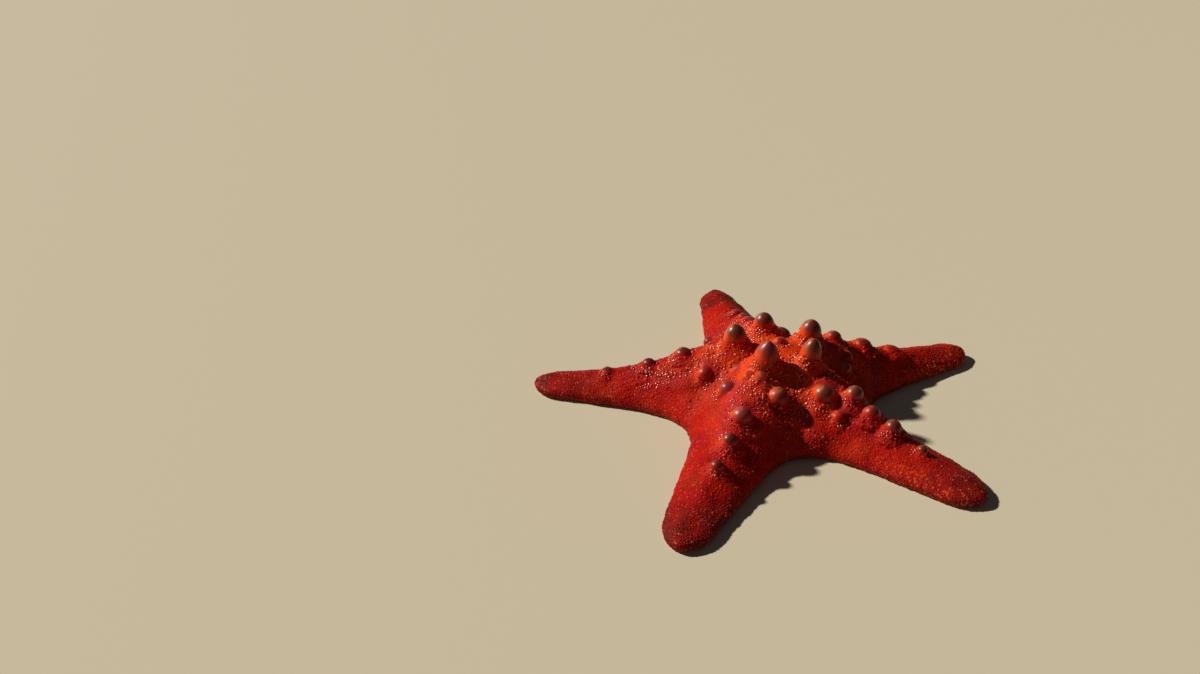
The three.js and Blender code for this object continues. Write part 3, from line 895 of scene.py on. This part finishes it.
def skin_paint():
    paint = Paint("wet_skin")
    cap = paint.field("cap")
    soft = 1 - cap
    colour = body_colour(paint, gap_shade=True)
    # Painted light: orange beside each cap on its side toward the light.
    glow = paint.field("glow") * paint.noise(3.5, 3.0).between(0.4, 0.68) * 0.75
    collar = paint.mix(glow, colour, LIT_COLLAR_ORANGE)
    # Painted light: on the lit side the orange climbs up onto the cap.
    climb = paint.field("glow") * (1 - paint.field("tone")) * 0.5
    fade = (cap + (paint.noise(1.6, 2.0) - 0.5) * cap * soft).clipped()
    colour = paint.mix(fade.between(0.05 + climb, 1.0), collar, cap_colour(paint))
    maze = paint.noise(1.1, 1.0, 0.5).between(0.42, 0.58)
    sieve = paint.field("sieve")
    colour = paint.mix(sieve * 0.85, colour, paint.mix(maze, SIEVE_DEEP, SIEVE_PALE))
    grain = paint.cells(0.85)
    pebbles = (1 - grain) ** 2
    height = pebbles * soft * (1 - sieve) + maze * sieve * 2 + paint.noise(0.35, 2.0) * 0.25
    paint.set(
        Base_Color=colour,
        Roughness=(0.46 - 0.1 * cap + (paint.noise(3, 2.0) - 0.5) * 0.2).clipped(),
        Coat_Weight=cap,
        Normal=paint.bump(height, 0.22, 0.75),
    )
    paint.set(Coat_Roughness=0.36, Coat_IOR=1.45, Specular_IOR_Level=0.04)
    return paint.material


def granule_paint():
    paint = Paint("wet_granules")
    colour = body_colour(paint, gap_shade=False)
    shade = paint.field("own_tone")
    colour = paint.mix((shade - 0.7).clipped() * 1.4, colour, FLAME)
    colour = paint.mix((0.35 - shade).clipped() * 0.5, colour, MAROON)
    wet = paint.field("rough").between(0.2, 0.6) * shade.between(0.05, 0.3)
    stray = shade.between(0.8, 0.98) * (0.05 + 0.65 * paint.field("frost"))
    paint.set(Base_Color=colour, Roughness=0.45, Coat_Weight=(wet + stray).clipped() * paint.field("wet"))
    paint.set(Coat_Roughness=0.26, Coat_IOR=1.68, Specular_IOR_Level=0.04)
    return paint.material


def pale_paint(name, pale, roughness):
    """Paint of spines and tube feet: one pale colour, a little different on each."""
    paint = Paint(name)
    shade = paint.field("own_tone")
    deep = tuple(0.7 * part for part in pale)
    paint.set(Base_Color=paint.mix(shade, deep, pale), Roughness=roughness, Coat_Weight=0.2)
    paint.set(Specular_IOR_Level=0.3)
    return paint.material


# ---- Granules and spines ----------------------------------------------------------------

SPINE_PROFILE = [(1.0, 0.0), (1.05, 0.3), (0.85, 0.7), (0.5, 0.93), (0.0, 1.0)]
FOOT_PROFILE = [(0.8, 0.0), (0.62, 0.35), (0.55, 0.75), (1.0, 0.88), (0.95, 0.98), (0.0, 0.97)]


def turned_shape(name, profile, sides):
    """A shape turned about +Z from (radius, height) pairs, foot first, ending at its tip.
    Its own place across, from 1 at the foot to 0 at the tip, is kept as a map."""
    points = []
    across = []
    for ring, (radius, height) in enumerate(profile[:-1]):
        share = 1 - ring / (len(profile) - 1)
        for side in range(sides):
            angle = 2 * math.pi * (side + 0.5 * ring) / sides
            way = (math.cos(angle), math.sin(angle))
            points.append((radius * way[0], radius * way[1], height))
            across.append((share * way[0], share * way[1], 0))
    points.append((0, 0, profile[-1][1]))
    across.append((0, 0, 0))
    faces = []
    for ring in range(len(profile) - 2):
        for side in range(sides):
            low, ahead = ring * sides + side, ring * sides + (side + 1) % sides
            faces.append((low, ahead, low + sides))
            faces.append((ahead, ahead + sides, low + sides))
    last = (len(profile) - 2) * sides
    faces.extend((last + side, last + (side + 1) % sides, len(points) - 1) for side in range(sides))
    mesh = mesh_from(name, np.array(points), faces)
    layer = mesh.attributes.new("across", "FLOAT_VECTOR", "POINT")
    layer.data.foreach_set("vector", np.array(across, dtype=np.float32).ravel())
    mesh.shade_smooth()
    return new_object(name, mesh)


def dome(rings):
    """Profile of a granule: half a ball of unit radius."""
    turns = [math.pi / 2 * ring / rings for ring in range(rings + 1)]
    return [(math.cos(turn), math.sin(turn)) for turn in turns]


BAKE_PATCH = 0.0015           # half the width of a granule's patch in its bake map
MAP_KIND = dict(data_type="FLOAT_VECTOR")
NUMBER_KIND = dict(data_type="FLOAT")


def new_tree(name, sockets):
    """An empty tree with a geometry input, the named inputs and a geometry output."""
    group = bpy.data.node_groups.new(name, "GeometryNodeTree")
    face = group.interface
    face.new_socket("Ground", in_out="INPUT", socket_type="NodeSocketGeometry")
    for label, kind in sockets:
        face.new_socket(label, in_out="INPUT", socket_type="NodeSocket" + kind)
    face.new_socket("Grown", in_out="OUTPUT", socket_type="NodeSocketGeometry")
    tree = Tree(group.nodes, group.links)
    given = tree.node("NodeGroupInput")
    want = {socket.name: Signal(tree, socket) for socket in given.outputs if socket.name}
    return group, tree, want


def read(tree, name, kind):
    return tree.out("GeometryNodeInputNamedAttribute", kind, {"Name": name})


def keep(tree, geometry, name, value, kind, **more):
    inputs = {"Geometry": geometry, "Name": name, "Value": value}
    return tree.out("GeometryNodeStoreNamedAttribute", dict(kind, **more), inputs)


def chance(tree, low, high, seed):
    return tree.out("FunctionNodeRandomValue", NUMBER_KIND, {2: low, 3: high, "Seed": seed}, 1)


def planted_on(tree, points, shape, turn, scale):
    inputs = {"Points": points, "Instance": tree.mesh_of(shape), "Rotation": turn, "Scale": scale}
    return tree.out("GeometryNodeInstanceOnPoints", {}, inputs)


def grown(tree, planted, want):
    """Makes the planted shapes real, each with a small patch of the skin's map at its root."""
    real = tree.out("GeometryNodeRealizeInstances", {}, {"Geometry": planted})
    inputs = {0: read(tree, "across", MAP_KIND), "Scale": BAKE_PATCH}
    patch = tree.out("ShaderNodeVectorMath", dict(operation="SCALE"), inputs)
    inputs = {0: read(tree, "root_place", MAP_KIND), 1: patch}
    patch = tree.out("ShaderNodeVectorMath", dict(operation="ADD"), inputs)
    real = keep(tree, real, "OFBake", patch, dict(data_type="FLOAT2"), domain="CORNER")
    for spare in ("root_place", "across"):
        inputs = {"Geometry": real, "Name": spare}
        real = tree.out("GeometryNodeRemoveAttribute", {}, inputs)
    inputs = {"Geometry": real, "Material": want["Finish"]}
    tree.node("NodeGroupOutput", {}, {0: tree.out("GeometryNodeSetMaterial", {}, inputs)})


def sowing_tree():
    """Scatters a shape over a surface, by a field of the surface."""
    group, tree, want = new_tree("sow_granules", (
        ("Shape", "Object"), ("Finish", "Material"), ("Field", "String"), ("Spacing", "Float"),
        ("Size", "Float"), ("Spread", "Float"), ("Flatness", "Float"), ("Tilt", "Float"),
        ("Sink", "Float"), ("Seed", "Int")))
    spread = tree.node(
        "GeometryNodeDistributePointsOnFaces", dict(distribute_method="POISSON"),
        {"Mesh": want["Ground"], "Distance Min": want["Spacing"], "Density Max": 3e6,
         "Density Factor": read(tree, want["Field"], NUMBER_KIND), "Seed": want["Seed"]})
    points = Signal(tree, spread.outputs["Points"])
    points = keep(tree, points, "root_place", read(tree, "OFBake", MAP_KIND), MAP_KIND)
    points = tree.out("GeometryNodeRemoveAttribute", {}, {"Geometry": points, "Name": "OFBake"})
    points = keep(tree, points, "own_tone", chance(tree, 0.0, 1.0, 7), NUMBER_KIND)
    size = chance(tree, 1 - want["Spread"], 1 + want["Spread"], 8) * want["Size"]
    scale = tree.vector(size, size, size * want["Flatness"])
    tilts = [chance(tree, 0 - want["Tilt"], want["Tilt"], 20 + axis) for axis in (0, 1)]
    tilt = tree.out("FunctionNodeEulerToRotation", {}, {0: tree.vector(*tilts)})
    inputs = {0: Signal(tree, spread.outputs["Rotation"]), 1: tilt}
    lie = tree.out("FunctionNodeRotateRotation", dict(rotation_space="LOCAL"), inputs)
    planted = planted_on(tree, points, want["Shape"], lie, scale)
    drop = tree.vector(0, 0, 0 - want["Sink"])
    inputs = {"Instances": planted, "Translation": drop, "Local Space": True}
    grown(tree, tree.out("GeometryNodeTranslateInstances", {}, inputs), want)
    return group


def planting_tree():
    """Stands a shape on every point of a mesh, by the point's own aim, thickness and length."""
    group, tree, want = new_tree("plant_spines", (
        ("Shape", "Object"), ("Finish", "Material"), ("Skin", "Object"), ("Spread", "Float")))
    inputs = {"Mesh": tree.mesh_of(want["Skin"]), "Value": read(tree, "OFBake", MAP_KIND)}
    root = tree.out("GeometryNodeSampleNearestSurface", MAP_KIND, inputs)
    points = keep(tree, want["Ground"], "root_place", root, MAP_KIND)
    points = keep(tree, points, "own_tone", chance(tree, 0.0, 1.0, 9), NUMBER_KIND)
    aim = {"Vector": read(tree, "aim", MAP_KIND)}
    turn = tree.out("FunctionNodeAlignRotationToVector", dict(axis="Z"), aim)
    thick = read(tree, "thickness", NUMBER_KIND)
    long = read(tree, "length", NUMBER_KIND) * chance(tree, 1 - want["Spread"], 1.0, 10)
    scale = tree.vector(thick, thick, long)
    grown(tree, planted_on(tree, points, want["Shape"], turn, scale), want)
    return group


def grow(piece, tree, slot, **wishes):
    """Runs a tree on a piece and leaves the piece as plain mesh."""
    grower = modify(piece, "NODES", node_group=tree)
    keys = {item.name: item.identifier for item in tree.interface.items_tree
            if item.in_out == "INPUT"}
    for wish, value in wishes.items():
        grower[keys[wish]] = value
    piece.data = finished_mesh(piece, piece.name)
    piece.data.shade_smooth()
    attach(piece, "root")
    return piece


# ---- The underside's spines and tube feet ------------------------------------------------

class Roots:
    """Places, directions, thicknesses and lengths of what stands on the underside."""

    def __init__(self):
        self.rows = []

    def add(self, plan, height, aim, thickness, length):
        """plan and aim hold one row for each root. The rest are rows or single numbers."""
        count = len(plan)
        aim = np.broadcast_to(aim / np.linalg.norm(aim, axis=1)[:, None], (count, 3))
        rest = [np.broadcast_to(value, count) for value in (thickness, length)]
        height = np.broadcast_to(height, count)
        self.rows.append(np.column_stack([plan, height, aim, *rest]))

    def piece(self, name):
        rows = np.vstack(self.rows)
        mesh = mesh_from(name, (rows[:, :3] + MOUTH) * MM, [])
        aims = mesh.attributes.new("aim", "FLOAT_VECTOR", "POINT")
        aims.data.foreach_set("vector", rows[:, 3:6].astype(np.float32).ravel())
        store(mesh, dict(thickness=rows[:, 6] * MM, length=rows[:, 7] * MM))
        return new_object(name, mesh)


def furrow_row(name, side, pitch, share, beyond=0.0):
    """Stations and offsets of a row along one side of an arm's furrow."""
    arm = ARMS[name]
    station = np.arange(FURROW_START, arm["reach"] - FURROW_END - 1, pitch)
    offset = side * (share * furrow_size(name, station)[0] + beyond)
    return station, offset + centre_offset(arm, station)


def arm_aim(arm, ahead, left, up):
    """Directions from their parts along an arm, to its left and upwards."""
    ahead, left, up = np.broadcast_arrays(*np.atleast_1d(ahead, left, up))
    return np.column_stack([arm_place(arm, ahead, left), up])


def furrow_roots():
    """Roots of the combs over the furrows, of the stout spines beside them and of the feet."""
    combs, guards, feet = Roots(), Roots(), Roots()
    for name, arm in ARMS.items():
        for side in (1, -1):
            station, offset = furrow_row(name, side, COMB_PITCH, 1.08)
            fade = 0.45 + 0.55 * furrow_size(name, station)[1]
            fan = 0.55 * np.sin(station * 2 * math.pi / PLATE_PITCH)
            aim = arm_aim(arm, fan, -side, -0.16)
            combs.add(arm_place(arm, station, offset), 0.75, aim, COMB_THICK, SPINE_LONG * fade)
            station, offset = furrow_row(name, side, PLATE_PITCH, 1.08, 0.9)
            fade = 0.5 + 0.5 * furrow_size(name, station)[1]
            aim = arm_aim(arm, 0.35, side, -0.1)
            thick, long = GUARD_THICK * fade, SPINE_LONG * fade
            guards.add(arm_place(arm, station, offset), 0.6, aim, thick, long)
            station, offset = furrow_row(name, side, FOOT_PITCH, 0.45)
            middle = np.abs(offset - centre_offset(arm, station))
            height = sole_height(name, station, middle, station) - 0.1
            aim = arm_aim(arm, 0.2 * np.sin(station * 5), 0.1 * side, -1)
            feet.add(arm_place(arm, station, offset), height, aim, FOOT_THICK, height - 0.35)
    return combs, guards, feet


def mouth_roots():
    """Roots of the spines of the five jaws, which point in over the mouth."""
    jaws = Roots()
    for name in ARM_NAMES:
        pit_station, pit_width = pit_of(name, 1)
        middle = ARMS[name]["heading"] + math.degrees(math.atan2(pit_width, pit_station))
        for step in range(-JAW_SPINES, JAW_SPINES + 1):
            way = unit(middle + step * 6.5)
            inwards = -unit(middle + step * 3.0)
            aim = np.array([[inwards[0], inwards[1], -0.12]])
            radius = JAW_RADIUS - 0.22 * abs(step)
            jaws.add(radius * way[None], 1.0, aim, JAW_THICK, JAW_LONG - 0.3 * abs(step))
    return jaws


# ---- The skin's own unwrap --------------------------------------------------------------

MAP_SIZE = 362.0              # millimetres across the whole map
MAP_STRETCH = 0.45            # room given to a slope, as a share of its drop
TOP_CENTRE = np.array([0.695, 0.306])
SOLE_CENTRE = np.array([0.276, 0.729])
SOLE_TURN = 318.0             # degrees
SOLE_EDGE = 0.6               # height over the underside where the sole's part of the map ends
DISC_DROP = 27.0              # most that a point of the disc, or of an arm, drops
ARM_DROP = 24.0


def spread_out(points, chart, knobs):
    """The top laid out flat: steep slopes and knobs are given room by how far they drop."""
    drop = np.clip(CROWN_HEIGHT - chart.height, 0, None)
    plan = points[:, :2].copy()
    for knob in knobs:
        shaded_arms, depth, _ = knob.around(points)
        near = (shaded_arms < knob.foot_radius) & (depth < knob.foot + 1)
        centre = knob.top[:2] - knob.axis[:2] * 0.5 * knob.rise
        side = points[near, :2] - centre
        flat = np.clip(np.linalg.norm(side, axis=1), 0.05, None)
        room = knob.foot_radius + knob.rise
        wide = knob.foot_radius * (flat + np.clip(depth[near], 0, knob.rise)) / room
        fade = 1 - smooth(0.7, 1.0, flat / knob.foot_radius)
        plan[near] += side * ((wide / flat - 1) * fade)[:, None]
    radius = np.clip(np.linalg.norm(plan, axis=1), 0.1, None)
    inner = 1 - smooth(42, 62, radius)
    plan = plan + plan / radius[:, None] * (MAP_STRETCH * np.minimum(drop, DISC_DROP))[:, None]
    for index, name in enumerate(ARM_NAMES):
        here = chart.arm == index
        ridge = ridge_height(chart.station[here], ARMS[name]["rise"])
        fall = np.clip(ridge - chart.height[here], 0, None) * (1 - inner[here])
        side = np.sign(chart.offset[here]) * np.clip(fall, 0, ARM_DROP) * MAP_STRETCH
        plan[here] += side[:, None] * unit(ARMS[name]["heading"] + 90)
    return plan


def unwrap(skin, knobs):
    """The OFBake map: the top and the sole, each laid out flat on its own part of the square."""
    mesh = skin.data
    places = from_mouth(mesh)
    chart = Chart(places)
    turn = math.radians(SOLE_TURN)
    turned = np.array([[math.cos(turn), math.sin(turn)], [-math.sin(turn), math.cos(turn)]])
    top = spread_out(places, chart, knobs) / MAP_SIZE + TOP_CENTRE
    sole = (places[:, :2] * np.array([-1, 1])) @ turned / MAP_SIZE + SOLE_CENTRE
    corners = whole_numbers(mesh.loops, "vertex_index")
    totals = whole_numbers(mesh.polygons, "loop_total")
    above = (chart.height - chart.under)[corners]
    starts = np.concatenate([[0], np.cumsum(totals)[:-1]])
    below = np.add.reduceat(above, starts) / totals < SOLE_EDGE
    below = np.repeat(below, totals)[:, None]
    layer = mesh.uv_layers.new(name="OFBake")
    flat = np.where(below, sole[corners], top[corners])
    layer.data.foreach_set("uv", flat.astype(np.float32).ravel())


horns, low_knobs = all_knobs()
skin = make_skin(horns + low_knobs)
unwrap(skin, horns + low_knobs)
skin.data.materials.clear()
skin.data.materials.append(skin_paint())
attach(skin, "root")
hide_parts("disc", *["arm_" + name for name in ARM_NAMES])

sow = sowing_tree()
wet_granules = granule_paint()
coarse_dome = turned_shape("coarse_dome", dome(3), 7)
fine_dome = turned_shape("fine_dome", dome(2), 5)


def granules(name, slot, shape, spacing, size, sink, **wishes):
    """Sows one kind of granule over the skin. spacing, size and sink are in millimetres."""
    grow(new_object(name, skin.data.copy()), sow, slot, Shape=shape, Finish=wet_granules,
         Spacing=spacing * MM, Size=size * MM, Sink=sink * MM, **wishes)


granules("coarse_granules", "disc_skin", coarse_dome, 1.02, 0.63, 0.08, Field="rough",
         Spread=0.3, Flatness=0.42, Tilt=0.42, Seed=5)
granules("fine_granules", "arm_skin", fine_dome, 0.88, 0.36, 0.04, Field="fine",
         Spread=0.4, Flatness=0.5, Tilt=0.25, Seed=6)
granules("sole_granules", "arm_skin", fine_dome, 1.5, 0.74, 0.05, Field="pavement",
         Spread=0.3, Flatness=0.3, Tilt=0.0, Seed=8)

plant = planting_tree()
bone = pale_paint("pale_spines", SPINE_PALE, 0.4)
spine = turned_shape("spine", SPINE_PROFILE, 6)
foot = turned_shape("foot", FOOT_PROFILE, 7)
combs, guards, feet = furrow_roots()
flesh = pale_paint("tube_feet", FOOT_PALE, 0.3)
for roots, name, slot, shape, finish, spread in (
        (combs, "furrow_combs", "arm_skin", spine, bone, 0.25),
        (guards, "furrow_guards", "arm_skin", spine, bone, 0.3),
        (mouth_roots(), "mouth_spines", "disc_skin", spine, bone, 0.15),
        (feet, "tube_feet", "arm_skin", foot, flesh, 0.2)):
    grow(roots.piece(name), plant, slot, Shape=shape, Finish=finish, Skin=skin, Spread=spread)
for shape in (coarse_dome, fine_dome, spine, foot):
    bpy.data.objects.remove(shape)


# ---- Stage, lamps and camera ----------------------------------------------------------

FLOOR_REACH = 4.0             # metres
FLOOR_PALE = (0.660, 0.590, 0.440)
SKY_STRENGTH = 0.045
BACKDROP_LEVEL = 0.7          # what the sky shows beyond that where it is seen itself
SUN_STRENGTH = 4.1
SUN_SPREAD = math.radians(3)
SUN_WARM = (1.0, 0.94, 0.84)
SUN_FROM = (-0.7495, 0.2435, 0.6157)
EYE = (-0.06957, -0.39558, 0.2446)   # metres
EYE_DIP = 90 - 61.68          # degrees below level
LENS = 32.27                  # millimetres, on a plate 36 wide


def stage():
    corners = np.array([(-1, -1, 0), (1, -1, 0), (1, 1, 0), (-1, 1, 0)])
    floor = new_object("floor", mesh_from("floor", corners * FLOOR_REACH, [(0, 1, 2, 3)]))
    paint = Paint("pale_floor")
    paint.set(Base_Color=(*FLOOR_PALE, 1), Roughness=0.9)
    floor.data.materials.append(paint.material)


def lamps():
    world = bpy.data.worlds.new("studio")
    bpy.context.scene.world = world
    world.use_nodes = True
    tree = Tree(world.node_tree.nodes, world.node_tree.links)
    seen = tree.out("ShaderNodeLightPath", output="Is Camera Ray")
    sky = tree.nodes["Background"].inputs
    tree.put(sky["Color"], (*SKY, 1))
    tree.put(sky["Strength"], seen.math("MULTIPLY_ADD", seen, BACKDROP_LEVEL, SKY_STRENGTH))
    sun = bpy.data.lights.new("key", "SUN")
    sun.energy = SUN_STRENGTH
    sun.angle = SUN_SPREAD
    sun.color = SUN_WARM
    lamp = new_object("key", sun)
    lamp.rotation_euler = Vector(SUN_FROM).to_track_quat("Z", "Y").to_euler()


def camera():
    lens = bpy.data.cameras.new("camera")
    lens.sensor_width = 36
    lens.lens = LENS
    viewer = new_object("camera", lens)
    viewer.location = EYE
    viewer.rotation_euler = (math.radians(90 - EYE_DIP), 0, 0)
    bpy.context.scene.camera = viewer


stage()
lamps()
camera()
bpy.context.scene.view_settings.view_transform = "Standard"
